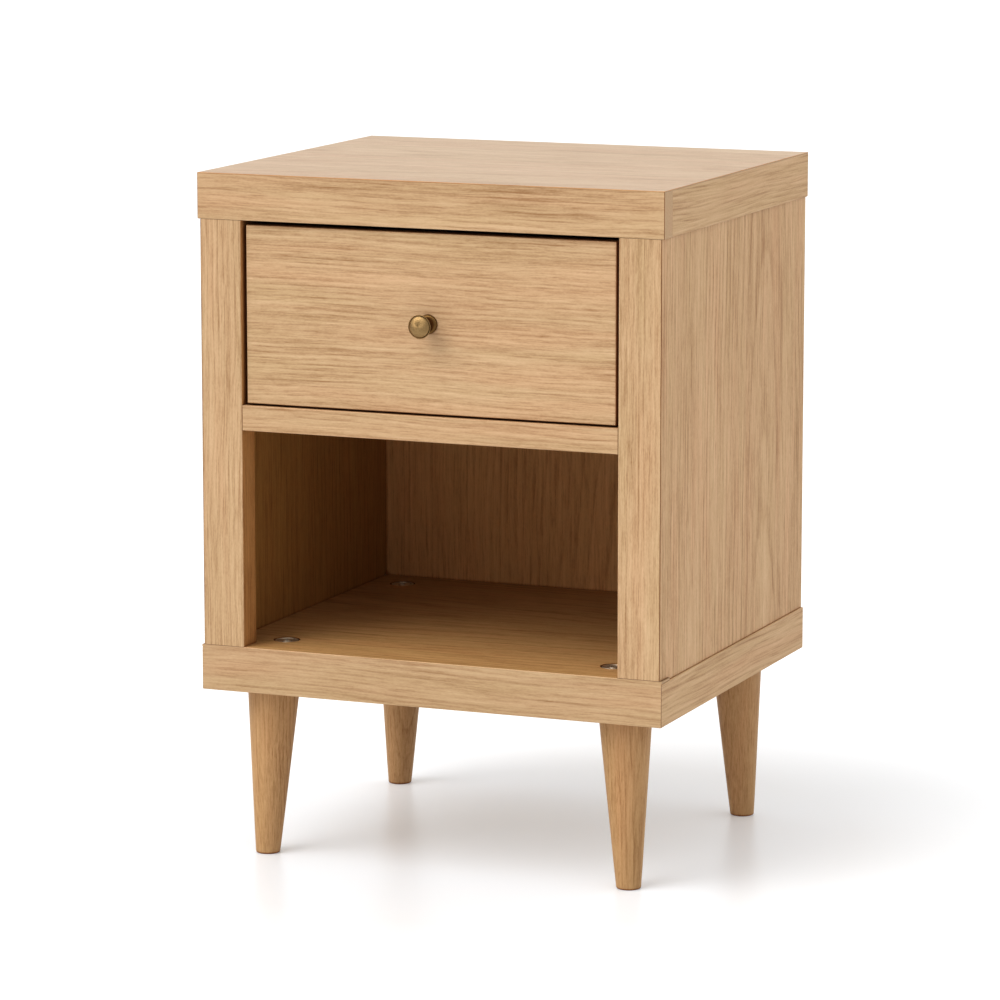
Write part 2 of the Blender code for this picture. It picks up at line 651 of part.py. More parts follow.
def group_under_empties():
    """The moving pieces hang from an empty on their slide's axis, the rest from the cabinet's."""
    drawer_names = ("drawer_", "knob")
    groups = {"cabinet_frame": [], "drawer_carriage": [], "left_middle_carriage": [],
              "right_middle_carriage": []}
    for piece in parts.objects:
        if piece.name.startswith(drawer_names) or piece.name.endswith("_slide_inner"):
            groups["drawer_carriage"].append(piece)
        elif piece.name.endswith("_slide_middle"):
            side = piece.name.split("_")[0]
            groups[f"{side}_middle_carriage"].append(piece)
        else:
            groups["cabinet_frame"].append(piece)
    origins = {"cabinet_frame": (0, 0, 0), "drawer_carriage": (0, DRAWER_FACE, SLIDE_HEIGHT),
               "left_middle_carriage": (-STILE_INNER, SLIDE_FRONT, SLIDE_HEIGHT),
               "right_middle_carriage": (STILE_INNER, SLIDE_FRONT, SLIDE_HEIGHT)}
    for name, members in groups.items():
        empty = bpy.data.objects.new(name, None)
        empty.location = origins[name]
        parts.objects.link(empty)
        for piece in members:
            piece.parent = empty
            piece.matrix_parent_inverse = Matrix.Translation(-Vector(origins[name]))


clear_scene()
parts = new_collection("nightstand")
cutters = new_collection("cutters")
finishes = {name: new_material(name) for name in MATERIALS}
make_top_slab()
make_base_edgings()
make_base_panel()
make_stiles_and_sides()
make_divider_and_back()
make_legs()
make_drawer_front(make_drawer_box())
make_slides()
group_under_empties()
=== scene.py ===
"""The looks of an oak nightstand: boards with eased edges and their own grain, turned legs, an
antiqued brass knob and zinc-plated fittings, on a pale floor in soft studio light."""

import json
import math

import bmesh
import bpy
from mathutils import Matrix, Vector


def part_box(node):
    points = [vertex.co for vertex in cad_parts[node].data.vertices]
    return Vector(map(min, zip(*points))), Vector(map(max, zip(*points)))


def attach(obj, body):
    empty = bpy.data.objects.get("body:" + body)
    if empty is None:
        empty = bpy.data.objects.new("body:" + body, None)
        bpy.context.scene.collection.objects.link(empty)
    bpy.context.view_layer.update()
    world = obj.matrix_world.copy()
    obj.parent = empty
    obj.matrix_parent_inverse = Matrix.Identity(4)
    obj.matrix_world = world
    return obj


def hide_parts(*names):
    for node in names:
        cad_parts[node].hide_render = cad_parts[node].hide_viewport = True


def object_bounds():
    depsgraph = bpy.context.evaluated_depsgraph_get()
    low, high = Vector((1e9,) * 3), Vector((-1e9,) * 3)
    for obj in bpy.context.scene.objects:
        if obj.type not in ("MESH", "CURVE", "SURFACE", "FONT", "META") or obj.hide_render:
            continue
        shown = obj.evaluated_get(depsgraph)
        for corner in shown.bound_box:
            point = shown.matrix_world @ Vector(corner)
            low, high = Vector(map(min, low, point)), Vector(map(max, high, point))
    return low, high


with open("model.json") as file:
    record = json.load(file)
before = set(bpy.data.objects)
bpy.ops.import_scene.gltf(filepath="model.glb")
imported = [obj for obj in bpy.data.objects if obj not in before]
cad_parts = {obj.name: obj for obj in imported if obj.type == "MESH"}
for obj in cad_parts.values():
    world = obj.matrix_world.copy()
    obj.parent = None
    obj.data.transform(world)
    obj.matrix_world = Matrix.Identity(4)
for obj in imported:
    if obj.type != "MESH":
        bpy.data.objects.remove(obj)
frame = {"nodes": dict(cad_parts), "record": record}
CAD_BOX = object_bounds()
NODES = frame["nodes"]
RECORD = frame["record"]
BODY_OF = {node: body for body, nodes in RECORD["behaviour"]["bodies"].items() for node in nodes}

# Lengths are in metres, and angles round the object or above the floor in degrees.
# Camera: round the middle of the case, with a long lens in millimetres
CAMERA_AZIMUTH = 22.246
CAMERA_ELEVATION = 9.652
CAMERA_DISTANCE = 4.4124
CAMERA_LENS = 170
CAMERA_SENSOR = 36
CAMERA_REACH = 100
AIM_OFFSET = Vector((-0.0092, 0, 0.0005))

# Light: a white room that is brighter behind the object and overhead, and large soft lights. Each
# light has its name, strength, spread in degrees, and its direction round the object and above the
# floor. The room turns from front to back, and from its walls to its top, between these directions
ROOM_FRONT = 0.35
ROOM_BACK = 1.1
ROOM_TOP = 1.0
ROOM_TURN = (-0.2, 0.6)
ROOM_RISE = (0.05, 0.6)
LIGHTS = (("key", 1.75, 45, -38, 50), ("front", 0.13, 40, -15, 12), ("fill", 0.25, 60, 110, 35),
          ("glint", 0.34, 30, -36, 18))
CONTRAST = 1.2

# Floor: its colour under the object, painted bluer against the wood's warm light in its shade, and
# round it, its glow, and its glow in a ring round the object's pool of shade, which is painted
# light that fades the shadow's edge. The radii are the pool's, the ring's inner and outer ones, and
# the one where the ring's extra glow has faded. Half its width, and how glossy it is
FLOOR_NEAR_COOLED = (0.64, 0.69, 0.75)
FLOOR_FAR = (0.660, 0.668, 0.680)
FLOOR_GLOW = 0.19
RING_GLOW = 0.28
POOL_RADIUS, RING_INNER, RING_OUTER, RING_FADED = 0.33, 0.56, 1.1, 1.5
FLOOR_HALF = 40
FLOOR_GLOSS = 0.15

# Distances that count as none: from a place on a node, from the veneer's underside, within a slice
# of a node, between corners that are one, and between the corners of a sliver
SAME = 0.0005
UNDER_VENEER = 0.002
SLICE = 0.0004
WELD = 0.00001
SLIVER = 0.000002

# Boards: the gap and the easing of a seam, then the radii of mitred corners, outer edges, the top's
# rim, the rail, the drawer front and the drawer box. Faces swell to meet their neighbours, edges
# are rounded in steps, and plywood has plies
SEAM_GAP = 0.0003
SEAM_EASE = 0.0003
ARRIS = 0.0005
EDGE_EASE = 0.0009
RIM_EASE = 0.0008
RAIL_EASE = 0.0007
FRONT_EASE = 0.0012
DRAWER_BOX_EASE = 0.0018
SWELL = 0.0001
EASE_STEPS = 3
PLY = 0.0015

# The skin over the cubby floor: its thickness, and its holes round the leg washers
SKIN = 0.0001
HOLE_GAP = 0.0007
HOLE_STEPS = 64

# Turned pieces: sides of a round, rows of a leg, and how a leg's foot is rounded
TURNED_STEPS = 96
LEG_STEPS = 8
FOOT_EASE = 0.0016
SOLE_INSET = 0.0004

# Faces: shares of a normal that count as slanting and as facing a way, the least angle of a corner
# and of a fitting's sharp edge, and the most that a flat face may bend
SLANTING = 0.2
FACING = 0.9
CORNER_ANGLE = math.radians(40)
FACET_ANGLE = math.radians(35)
FLAT_ANGLE = math.radians(0.5)

# Slides: their sheet, the radius and height of screw and rivet heads and where these stand behind
# the member's front or ahead of its rear, the lever's start, thickness, easing and outline (along,
# up) from there, and the rows of balls
SLIDE_SHEET = 0.0012
SCREW_HEAD = (0.0036, 0.0015)
SCREWS_FROM_FRONT = (0.035, 0.128)
SCREW_FROM_REAR = 0.030
RIVET_HEAD = (0.0026, 0.0007)
RIVETS_FROM_FRONT = (0.010, 0.030)
RIVET_FROM_REAR = 0.012
HEAD_STEPS = 32
HEAD_POWER = 0.7
HEAD_RIM = 0.25
LEVER_START = 0.165
LEVER_THICK = 0.0016
LEVER_EASE = 0.0004
LEVER_OUTLINE = ((0, 0.0016), (0.018, 0.0030), (0.040, 0.0058), (0.046, 0.0050),
                 (0.046, 0.0028), (0.040, 0.0030), (0.020, -0.0012), (0, -0.0022))
BALLS = 14
FIRST_BALL = 0.012
BALL_STEP = 0.009

# Knob: radii as shares of its own, of the dome, the groove round it, the rim's bead, the face under
# the rim, the neck, and the base, whose flare ends a little inside it. Then heights, and the power
# that flattens the dome's middle
KNOB_FACE = 0.90
KNOB_GROOVE = 0.905
KNOB_BEAD = 0.045
KNOB_UNDER = 0.93
KNOB_NECK = 0.46
KNOB_FLANGE = 0.805
FLARE_SHARE = 0.96
DOME_HEIGHT = 0.0036
DOME_POWER = 1.4
GROOVE_DEPTH = 0.0003
UNDER_HEIGHT = 0.0060
FLARE_HEIGHT = 0.0070
FLARE_START = 0.0014
FLANGE_HEIGHT = 0.0010

# Oak: mean colour, its darkest and lightest streaks and its hue patches as factors of it, tints of
# some boards, and how much each kind of mark counts
OAK = (0.508, 0.342, 0.196)
OAK_DARK = (0.66, 0.56, 0.46)
OAK_LIGHT = (1.22, 1.30, 1.40)
OAK_PINK = (1.02, 0.985, 0.985)
OAK_STRAW = (0.985, 1.0, 0.98)
# Painted light in the cubby: its floor and the inner faces of its side panels and stiles are
# browner as painted shade, and the back's inner face is redder for painted bounce light
CUBBY_FLOOR_SHADE_TINT = (0.98, 0.88, 0.66)
WALL_SHADE_TINT = (0.86, 0.70, 0.38)
REVEAL_SHADE_TINT = (1.06, 0.84, 0.56)
BACK_BOUNCE_LIGHT_TINT = (1.0, 0.86, 0.62)
ARRIS_TINT = (1.1, 0.85, 0.6)
LEG_TINT = (1.05, 0.94, 0.78)
EDGING_TINT = (1.04, 1.01, 0.95)
# Tones of the legs, front left, front right, rear left, rear right: the rear ones are darker as
# painted shade, the rear left one most
LEG_TONES_AND_SHADE = (0.88, 0.86, 0.75, 0.83)
TOP_TINT = (1.055, 1.0, 0.88)
SIDE_TINT = (1.02, 0.97, 0.895)
SEED_STEP = (1.37, 0.61, 0.43)
FIBRE_WEIGHT = 1.15
DASH_WEIGHT = 0.85
FLECK_WEIGHT = 0.40
PORE_WEIGHT = 0.10

# Painted shade: its colour in metal recesses and how far it reaches there, and the same for the
# wood's gaps and inner corners
RECESS_SHADE = (0.30, 0.20, 0.12)
BOLT_SHADE_REACH = 0.003
CREVICE_SHADE_REACH = 0.006
CREVICE_SHADE = (0.28, 0.11, 0.04)
CORNER_SHADE = (0.66, 0.48, 0.34)

# Plated steel
NICKEL = (0.72, 0.65, 0.55)
NICKEL_ROUGHNESS = 0.50
ZINC = (0.56, 0.56, 0.55)
ZINC_ROUGHNESS = 0.42

# Brass: its colours, its painted shade in recesses and how far that reaches, how many lathe rings
# to a metre and how deep, and how brown the knob is painted as shade behind its dome and at its
# base, which is lighter for a painted highlight on the flange
BRASS_DARK = (0.22, 0.137, 0.055)
BRASS = (0.365, 0.243, 0.114)
BRASS_LIGHT = (0.51, 0.365, 0.192)
BRASS_RECESS_SHADE = (0.16, 0.10, 0.06)
BRASS_SHADE_REACH = 0.014
LATHE_RINGS = 3600
LATHE_DEPTH = 0.00009
KNOB_BACK_SHADE = (0.40, 0.32, 0.24)
KNOB_BASE_SHADE_AND_HIGHLIGHT = (0.54, 0.46, 0.35)


# ---------------------------------------------------------------- materials

class Nodes:
    """A short way to write a node tree."""

    def __init__(self, name):
        self.material = bpy.data.materials.new(name)
        self.material.use_nodes = True
        self.tree = self.material.node_tree
        self.shader = self.tree.nodes["Principled BSDF"]

    def put(self, socket, value):
        if isinstance(value, bpy.types.NodeSocket):
            self.tree.links.new(value, socket)
        else:
            socket.default_value = value

    def add(self, kind, **inputs):
        node = self.tree.nodes.new(kind)
        for name, value in inputs.items():
            self.put(node.inputs[name], value)
        return node

    def math(self, operation, a, b=0.0, clamp=False):
        node = self.tree.nodes.new("ShaderNodeMath")
        node.operation = operation
        node.use_clamp = clamp
        self.put(node.inputs[0], a)
        self.put(node.inputs[1], b)
        return node.outputs[0]

    def vector(self, operation, a, b=(0, 0, 0)):
        node = self.tree.nodes.new("ShaderNodeVectorMath")
        node.operation = operation
        self.put(node.inputs[0], a)
        self.put(node.inputs[1], b)
        return node.outputs["Value"] if operation == "LENGTH" else node.outputs[0]

    def noise(self, where, scale, detail=2.0, roughness=0.5, output="Fac"):
        """Noise stretched by its own scale along each axis."""
        node = self.add("ShaderNodeTexNoise", Vector=self.vector("MULTIPLY", where, scale),
                        Scale=1.0, Detail=detail, Roughness=roughness)
        return node.outputs[output]

    def ramp(self, value, stops):
        node = self.add("ShaderNodeValToRGB", Fac=value)
        elements = node.color_ramp.elements
        while len(elements) < len(stops):
            elements.new(0.5)
        for element, (position, colour) in zip(elements, stops):
            element.position = position
            element.color = (*colour, 1)
        return node.outputs["Color"]

    def grey_ramp(self, value, stops):
        return self.ramp(value, [(position, (g, g, g)) for position, g in stops])

    def times(self, a, b):
        """Two colours multiplied."""
        node = self.tree.nodes.new("ShaderNodeMix")
        node.data_type = "RGBA"
        node.blend_type = "MULTIPLY"
        for index, value in ((0, 1.0), (6, a), (7, b)):
            self.put(node.inputs[index], value)
        return node.outputs[2]

    def blend(self, amount, a, b):
        """a where the amount is 0, b where it is 1."""
        node = self.tree.nodes.new("ShaderNodeMix")
        for index, value in ((0, amount), (2, a), (3, b)):
            self.put(node.inputs[index], value)
        return node.outputs[0]

    def about_half(self, value, gain):
        """gain times how far the value is from one half."""
        return self.math("MULTIPLY", self.math("SUBTRACT", value, 0.5), gain)

    def here(self):
        return self.add("ShaderNodeTexCoord").outputs["Object"]

    def bump(self, height, strength, distance):
        node = self.add("ShaderNodeBump", Height=height, Strength=strength, Distance=distance)
        return node.outputs["Normal"]


def tinted(colour, factors):
    return tuple(c * f for c, f in zip(colour, factors))


def along_grain(n, grain, seed):
    """Coordinates with the grain along their first axis, far from those of the other boards."""
    split = n.add("ShaderNodeSeparateXYZ", Vector=n.here()).outputs
    order = {"X": "XYZ", "Y": "YXZ", "Z": "ZXY"}[grain]
    joined = n.add("ShaderNodeCombineXYZ", X=split[order[0]], Y=split[order[1]],
                   Z=split[order[2]]).outputs[0]
    return n.vector("ADD", joined, tuple(seed * step for step in SEED_STEP))


def growth_rings(n, place, seed, pith, lean, spacing):
    """0 to 1 across each growth ring, about a pith line that leans a little to the grain."""
    split = n.add("ShaderNodeSeparateXYZ", Vector=place).outputs
    far = n.math("SUBTRACT", split["X"], seed * SEED_STEP[0])
    across = n.math("SUBTRACT", split["Y"], seed * SEED_STEP[1] + pith[0])
    deep = n.math("SUBTRACT", split["Z"], seed * SEED_STEP[2] + pith[1])
    across = n.math("ADD", across, n.math("MULTIPLY", far, lean[0]))
    deep = n.math("ADD", deep, n.math("MULTIPLY", far, lean[1]))
    flat = n.add("ShaderNodeCombineXYZ", X=0.0, Y=across, Z=deep).outputs[0]
    return n.math("FRACT", n.math("DIVIDE", n.vector("LENGTH", flat), spacing))


def cut_ends(n, grain):
    """1 where the surface cuts across the grain, 0 along it."""
    normal = n.add("ShaderNodeTexCoord").outputs["Normal"]
    facing = n.math("ABSOLUTE", n.add("ShaderNodeSeparateXYZ", Vector=normal).outputs[grain])
    return n.grey_ramp(facing, [(0.55, 0.0), (0.85, 1.0)])


def crevice_shade(n, colour):
    """Painted shade: darkens and reddens a colour in narrow gaps and inner corners."""
    open_sky = n.add("ShaderNodeAmbientOcclusion", Distance=CREVICE_SHADE_REACH).outputs["AO"]
    depth = n.ramp(open_sky, [(0.0, CREVICE_SHADE), (0.50, CORNER_SHADE), (0.68, (1, 1, 1))])
    return n.times(colour, depth)


def oak(name, grain, seed, tone=1.0, tint=(1, 1, 1), contrast=1.0, fineness=1.0, broad=0.3,
        lines=0.3, pith=(0.03, -0.16), lean=(0.01, 0.03), spacing=0.0055, gloss=0.25,
        roughness=0.58, stretch=1.0):
    """Light oak under a clear satin lacquer: growth rings, streaks, fibres and open pores. The
    seed gives a board its own grain, and stretch lengthens its streaks and fibres."""
    n = Nodes(name)
    place = along_grain(n, grain, seed)
    sway = n.vector("SUBTRACT", n.noise(place, (3, 9, 9), 2.0, 0.5, "Color"), (0.5, 0.5, 0.5))
    ripple = n.vector("SUBTRACT", n.noise(place, (16 / stretch, 60, 60), 1.0, 0.5, "Color"),
                      (0.5, 0.5, 0.5))
    bent = n.vector("ADD", place, n.vector("MULTIPLY", sway, (0, 0.014, 0.014)))
    bent = n.vector("ADD", bent, n.vector("MULTIPLY", ripple, (0, 0.0022, 0.0022)))
    ring = growth_rings(n, bent, seed, pith, lean, spacing)
    late = n.grey_ramp(ring, [(0.0, 1.0), (0.10, 0.75), (0.34, 0.12), (0.9, 0.0), (1.0, 1.0)])
    late = n.math("MULTIPLY", late, n.grey_ramp(n.noise(bent, (9, 40, 40), 2.0),
                                                [(0.36, 0.15), (0.62, 1.0)]))
    wide = n.noise(place, (1.8, 22, 22), 2.0)
    streak = n.noise(bent, (6 / stretch, 120, 120), 2.0, 0.55)
    fibre = n.noise(bent, (10 / stretch, 430 * fineness, 430 * fineness), 3.0, 0.6)
    dash = n.noise(bent, (60 / stretch, 800 * fineness, 800 * fineness), 2.0, 0.5)
    fleck = n.noise(bent, (330, 1200, 1200), 1.0)
    pore = n.grey_ramp(dash, [(0.60, 0.0), (0.70, 1.0)])
    value = n.math("ADD", n.about_half(wide, broad * contrast), 0.55)
    value = n.math("ADD", value, n.about_half(streak, broad * contrast))
    for mark, weight in ((fibre, FIBRE_WEIGHT), (dash, DASH_WEIGHT), (fleck, FLECK_WEIGHT)):
        value = n.math("ADD", value, n.about_half(mark, weight * contrast))
    value = n.math("SUBTRACT", value, n.math("MULTIPLY", late, lines * contrast))
    value = n.math("SUBTRACT", value, n.math("MULTIPLY", pore, PORE_WEIGHT * contrast), clamp=True)
    ends = cut_ends(n, grain)
    speck = n.math("ADD", 0.44, n.about_half(n.noise(place, (500, 500, 500), 2.0), 0.35))
    value = n.blend(ends, value, speck)
    base = tinted(tinted(OAK, tint), (tone, tone, tone))
    colour = n.ramp(value, [(0.05, tinted(base, OAK_DARK)), (0.5, base),
                            (0.95, tinted(base, OAK_LIGHT))])
    hue = n.ramp(n.noise(place, (4, 48, 48), 2.0),
                 [(0.32, OAK_PINK), (0.5, (1, 1, 1)), (0.68, OAK_STRAW)])
    # Painted shade in the wood's gaps and inner corners
    colour = crevice_shade(n, n.times(colour, hue))
    n.put(n.shader.inputs["Base Color"], colour)
    n.put(n.shader.inputs["Specular IOR Level"], gloss)
    n.put(n.shader.inputs["Roughness"],
          n.math("SUBTRACT", roughness, n.math("MULTIPLY", value, 0.16)))
    relief = n.math("SUBTRACT", n.math("MULTIPLY", fibre, 0.5), pore)
    relief = n.blend(ends, relief, 0.0)
    n.put(n.shader.inputs["Normal"], n.bump(relief, 0.18, 0.0002))
    return n.material


def plywood(name, across, seed):
    """Pale birch plywood: plain faces, and thin dark and light plies on its edges."""
    n = Nodes(name)
    place = n.here()
    split = n.add("ShaderNodeSeparateXYZ", Vector=place).outputs
    plies = n.math("PINGPONG", split[across], PLY)
    band = n.grey_ramp(n.math("DIVIDE", plies, PLY), [(0.38, 0.0), (0.62, 1.0)])
    shifted = n.vector("ADD", place, (seed, seed, seed))
    grain = n.noise(shifted, (190, 9, 190) if across != "Y" else (9, 190, 190), 3.0)
    wide = n.noise(shifted, (30, 3, 30) if across != "Y" else (3, 30, 30), 2.0)
    value = n.math("ADD", n.about_half(grain, 0.7), n.about_half(wide, 0.5))
    value = n.math("ADD", value, n.math("ADD", 0.35, n.math("MULTIPLY", band, 0.35)), clamp=True)
    colour = n.ramp(value, [(0.1, (0.44, 0.29, 0.16)), (0.5, (0.62, 0.46, 0.29)),
                            (0.9, (0.74, 0.59, 0.41))])
    n.put(n.shader.inputs["Base Color"], colour)
    n.put(n.shader.inputs["Roughness"], n.math("SUBTRACT", 0.62, n.math("MULTIPLY", grain, 0.12)))
    n.put(n.shader.inputs["Normal"], n.bump(grain, 0.12, 0.0002))
    return n.material


def fibreboard(name):
    """Brown core board: fine pressed fibres and darker specks."""
    n = Nodes(name)
    place = n.here()
    speck = n.noise(place, (900, 900, 900), 2.0)
    cloud = n.noise(place, (60, 60, 60), 3.0)
    value = n.math("ADD", n.about_half(speck, 0.9), cloud, clamp=True)
    colour = n.ramp(value, [(0.2, (0.20, 0.13, 0.075)), (0.5, (0.36, 0.25, 0.15)),
                            (0.8, (0.50, 0.37, 0.24))])
    n.put(n.shader.inputs["Base Color"], colour)
    n.put(n.shader.inputs["Roughness"], n.math("ADD", 0.70, n.math("MULTIPLY", cloud, 0.2)))
    n.put(n.shader.inputs["Normal"], n.bump(speck, 0.3, 0.0003))
    return n.material


def antique_brass(centre, reach):
    """Brass with fine lathe rings, polished on its face and painted brown behind it as shade,
    lighter at its base for a painted highlight, and with painted shade in its recesses.
    """
    n = Nodes("antique_brass")
    place = n.here()
    from_centre = n.vector("MULTIPLY", n.vector("SUBTRACT", place, tuple(centre)), (1, 0, 1))
    out = n.vector("LENGTH", from_centre)
    ring = n.noise(n.add("ShaderNodeCombineXYZ", X=out).outputs[0], (LATHE_RINGS, 1, 1), 2.0)
    cloud = n.noise(place, (160, 160, 160), 2.0, 0.5)
    grime_and_shade = n.noise(place, (900, 900, 900), 2.0)
    value = n.math("ADD", n.about_half(grime_and_shade, 0.25), n.about_half(cloud, 0.20))
    value = n.math("ADD", value, n.about_half(ring, 0.30))
    value = n.math("ADD", value, 0.5, clamp=True)
    colour = n.ramp(value, [(0.2, BRASS_DARK), (0.5, BRASS), (0.8, BRASS_LIGHT)])
    # Painted shade: browner behind the dome, and lighter at the base for a painted highlight on the
    # flange
    behind = n.math("SUBTRACT", n.add("ShaderNodeSeparateXYZ", Vector=place).outputs["Y"],
                    centre.y - reach)
    behind_dome_shade = n.ramp(n.math("DIVIDE", behind, reach),
                  [(0.20, (1, 1, 1)), (0.36, KNOB_BACK_SHADE), (0.80, KNOB_BACK_SHADE), (0.93, KNOB_BASE_SHADE_AND_HIGHLIGHT)])
    # Painted shade darkens the brass in its recesses
    recess = n.add("ShaderNodeAmbientOcclusion", Distance=BRASS_SHADE_REACH).outputs["AO"]
    shade_in_recesses = n.ramp(recess, [(0.30, BRASS_RECESS_SHADE), (0.85, (1, 1, 1))])
    n.put(n.shader.inputs["Base Color"], n.times(n.times(colour, behind_dome_shade), shade_in_recesses))
    n.put(n.shader.inputs["Metallic"], 1.0)
    n.put(n.shader.inputs["Roughness"], n.math("SUBTRACT", 0.48, n.math("MULTIPLY", value, 0.12)))
    n.put(n.shader.inputs["Anisotropic"], 0.9)
    turning = n.add("ShaderNodeTangent")
    turning.direction_type = "RADIAL"
    turning.axis = "Y"
    n.put(n.shader.inputs["Tangent"], turning.outputs[0])
    n.put(n.shader.inputs["Normal"], n.bump(ring, 1.0, LATHE_DEPTH))
    return n.material


def plated_steel(name, along, colour, roughness, grime_and_shade=0.0):
    """Plated steel with fine drawing lines and faint clouds, and painted shade in its recesses."""
    n = Nodes(name)
    place = n.here()
    stretch = {"X": (20, 1400, 1400), "Y": (1400, 20, 1400), "Z": (1400, 1400, 20)}[along]
    lines = n.noise(place, stretch, 2.0)
    cloud = n.noise(place, (45, 45, 45), 2.0)
    value = n.math("ADD", n.about_half(lines, 0.5), n.about_half(cloud, 0.35))
    value = n.math("ADD", value, 0.5, clamp=True)
    shades = [(position, tinted(colour, (tone, tone, tone)))
              for position, tone in ((0.2, 0.80), (0.5, 1.0), (0.8, 1.15))]
    shade = n.ramp(value, shades)
    # Painted shade darkens the steel where it is hemmed in
    if grime_and_shade:
        recess = n.add("ShaderNodeAmbientOcclusion", Distance=grime_and_shade).outputs["AO"]
        shade = n.times(shade, n.ramp(recess, [(0.1, RECESS_SHADE), (0.6, (1, 1, 1))]))
    n.put(n.shader.inputs["Base Color"], shade)
    n.put(n.shader.inputs["Metallic"], 1.0)
    n.put(n.shader.inputs["Roughness"],
          n.math("SUBTRACT", roughness, n.math("MULTIPLY", value, 0.14)))
    n.put(n.shader.inputs["Normal"], n.bump(lines, 0.08, 0.0001))
    return n.material


def dark_plastic():
    """Black moulded plastic with a fine matt texture."""
    n = Nodes("dark_plastic")
    grain = n.noise(n.here(), (1500, 1500, 1500), 2.0)
    n.put(n.shader.inputs["Base Color"], n.ramp(grain, [(0.3, (0.014, 0.014, 0.015)),
                                                        (0.7, (0.035, 0.035, 0.037))]))
    n.put(n.shader.inputs["Roughness"], n.math("ADD", 0.45, n.math("MULTIPLY", grain, 0.2)))
    n.put(n.shader.inputs["Normal"], n.bump(grain, 0.2, 0.0001))
    return n.material


# ---------------------------------------------------------------- shaped pieces

def piece_from(shape, name, materials, node, replaces=True):
    """Turns a bmesh in the row frame into a piece that stands for a CAD node, or joins it."""
    mesh = bpy.data.meshes.new(name)
    shape.to_mesh(mesh)
    shape.free()
    for material in materials:
        mesh.materials.append(material)
    piece = bpy.data.objects.new(name, mesh)
    bpy.context.scene.collection.objects.link(piece)
    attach(piece, BODY_OF[node])
    if replaces:
        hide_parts(node)
    return piece


def welded_copy(node):
    """A CAD node's mesh with whole faces: its corners welded and its flat triangles joined."""
    shape = bmesh.new()
    shape.from_mesh(NODES[node].data)
    bmesh.ops.remove_doubles(shape, verts=shape.verts, dist=WELD)
    bmesh.ops.dissolve_limit(shape, angle_limit=FLAT_ANGLE, verts=shape.verts,
                             edges=shape.edges)
    return shape


def swollen(shape, amount):
    """Moves every face outwards a little, so that neighbouring boards almost touch, but not out
    of the CAD box."""
    moves = {}
    for vert in shape.verts:
        ways = []
        for face in vert.link_faces:
            if all(face.normal.dot(way) < 0.99 for way in ways):
                ways.append(face.normal.copy())
        moves[vert] = sum(ways, Vector()) * amount
    low, high = CAD_BOX
    for vert, move in moves.items():
        vert.co = [min(max(c, a), b) for c, a, b in zip(vert.co + move, low, high)]


def flat_and_outward(shape):
    """Flat, outward faces, without the slivers that rounding leaves at a corner."""
    bmesh.ops.remove_doubles(shape, verts=shape.verts, dist=SLIVER)
    bmesh.ops.recalc_face_normals(shape, faces=shape.faces)
    for face in shape.faces:
        face.smooth = False


def corner_edges(shape):
    return [edge for edge in shape.edges
            if len(edge.link_faces) == 2 and edge.calc_face_angle() > CORNER_ANGLE]


def middle_of(edge):
    return (edge.verts[0].co + edge.verts[1].co) / 2


def nearest_x(node):
    """How near a node on one side of the middle comes to it."""
    return min(abs(corner.x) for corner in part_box(node))


def ease(shape, edges, radius, material=0):
    """Rounds edges. The rounded faces take the material with that number in the piece's list."""
    bmesh.ops.bevel(shape, geom=edges, offset=radius, segments=EASE_STEPS, profile=0.5,
                    affect="EDGES", clamp_overlap=True, material=material)


def eased_board(node, material, radius_of, arris=None, swell=SWELL):
    """A CAD board with rounded edges. radius_of gives the radius of the edge with a given middle,
    or 0 to leave it sharp. Edges of radius ARRIS take the second material, if there is one: the
    dark line of a mitre."""
    shape = welded_copy(node)
    swollen(shape, swell)
    radii = {radius_of(middle_of(edge)) for edge in corner_edges(shape)} - {0}
    for radius in sorted(radii, reverse=True):
        edges = [edge for edge in corner_edges(shape) if radius_of(middle_of(edge)) == radius]
        ease(shape, edges, radius, 1 if arris and radius == ARRIS else 0)
    flat_and_outward(shape)
    return piece_from(shape, f"{node}_eased", (material, arris) if arris else (material,), node)


def face_with(piece, material, chosen):
    """Gives another material to the faces for which chosen(centre, normal) is true."""
    piece.data.materials.append(material)
    last = len(piece.data.materials) - 1
    for face in piece.data.polygons:
        if chosen(face.center, face.normal):
            face.material_index = last


def cut_across(piece, places):
    """Cuts a piece's faces in two at each of some distances along X."""
    shape = bmesh.new()
    shape.from_mesh(piece.data)
    for x in places:
        bmesh.ops.bisect_plane(shape, geom=shape.verts[:] + shape.edges[:] + shape.faces[:],
                               plane_co=(x, 0, 0), plane_no=(1, 0, 0), dist=WELD)
    shape.to_mesh(piece.data)
    shape.free()


def smooth_fitting(node, material):
    """A round CAD fitting, shaded smooth across its facets."""
    shape = welded_copy(node)
    bmesh.ops.recalc_face_normals(shape, faces=shape.faces)
    piece = piece_from(shape, f"{node}_turned", (material,), node)
    piece.data.shade_smooth()
    piece.data.set_sharp_from_angle(angle=FACET_ANGLE)
    return piece


def quarter_turn(steps):
    return [math.radians(90 * step / steps) for step in range(steps + 1)]


def spun(profile, centre, axis, steps, name, material, node, replaces=True):
    """A profile of (radius, height along the axis) points, turned about the axis."""
    axis = Vector(axis)
    side = axis.orthogonal().normalized()
    shape = bmesh.new()
    verts = [shape.verts.new(centre + side * radius + axis * height)
             for radius, height in profile]
    edges = [shape.edges.new(pair) for pair in zip(verts, verts[1:])]
    bmesh.ops.spin(shape, geom=verts + edges, cent=centre, axis=axis, angle=2 * math.pi,
                   steps=steps, use_duplicate=False)
    bmesh.ops.remove_doubles(shape, verts=shape.verts, dist=WELD)
    bmesh.ops.recalc_face_normals(shape, faces=shape.faces)
    piece = piece_from(shape, name, (material,), node, replaces)
    piece.data.shade_smooth()
    piece.data.set_sharp_from_angle(angle=CORNER_ANGLE)
    return piece


# ---------------------------------------------------------------- the case

def near(a, b):
    return abs(a - b) < SAME


